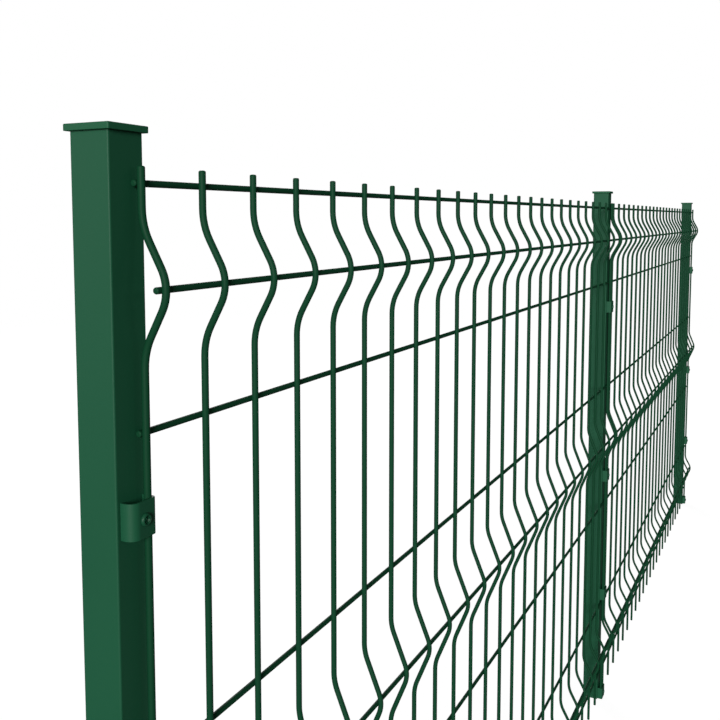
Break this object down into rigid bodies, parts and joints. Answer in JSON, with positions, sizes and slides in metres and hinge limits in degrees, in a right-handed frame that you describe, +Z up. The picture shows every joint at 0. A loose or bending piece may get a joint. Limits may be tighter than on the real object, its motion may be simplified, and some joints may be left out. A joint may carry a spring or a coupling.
{
  "type": "welded mesh fence",
  "caption": "Run of welded wire mesh fence panels with stiffening folds, bolted with clamps to square steel posts with flat caps.",
  "frame": {"origin": "middle of the middle post's foot, on the ground", "axes": "+X along the fence from the start post to the end post, +Z up, the panels on the -Y side of the posts"},
  "size_m": [4.9054, 0.0977, 1.8157],
  "materials": {
    "post_coating": "satin powder coat",
    "mesh_coating": "satin powder coat",
    "clamp_coating": "satin powder coat",
    "bolt_coating": "satin paint",
    "cap_plastic": "moulded, slightly glossy"
  },
  "bodies": {
    "root": {"start_post": "post_coating", "start_post_foot": "post_coating", "start_post_cap": "cap_plastic", "start_post_clamp_1": "clamp_coating", "start_post_bolt_1": "bolt_coating", "start_post_clamp_2": "clamp_coating", "start_post_bolt_2": "bolt_coating", "start_post_clamp_3": "clamp_coating", "start_post_bolt_3": "bolt_coating", "start_post_clamp_4": "clamp_coating", "start_post_bolt_4": "bolt_coating", "middle_post": "post_coating", "middle_post_foot": "post_coating", "middle_post_cap": "cap_plastic", "middle_post_clamp_1": "clamp_coating", "middle_post_bolt_1": "bolt_coating", "middle_post_clamp_2": "clamp_coating", "middle_post_bolt_2": "bolt_coating", "middle_post_clamp_3": "clamp_coating", "middle_post_bolt_3": "bolt_coating", "middle_post_clamp_4": "clamp_coating", "middle_post_bolt_4": "bolt_coating", "end_post": "post_coating", "end_post_foot": "post_coating", "end_post_cap": "cap_plastic", "end_post_clamp_1": "clamp_coating", "end_post_bolt_1": "bolt_coating", "end_post_clamp_2": "clamp_coating", "end_post_bolt_2": "bolt_coating", "end_post_clamp_3": "clamp_coating", "end_post_bolt_3": "bolt_coating", "end_post_clamp_4": "clamp_coating", "end_post_bolt_4": "bolt_coating", "first_panel": "mesh_coating", "second_panel": "mesh_coating"}
  },
  "joints": []
}
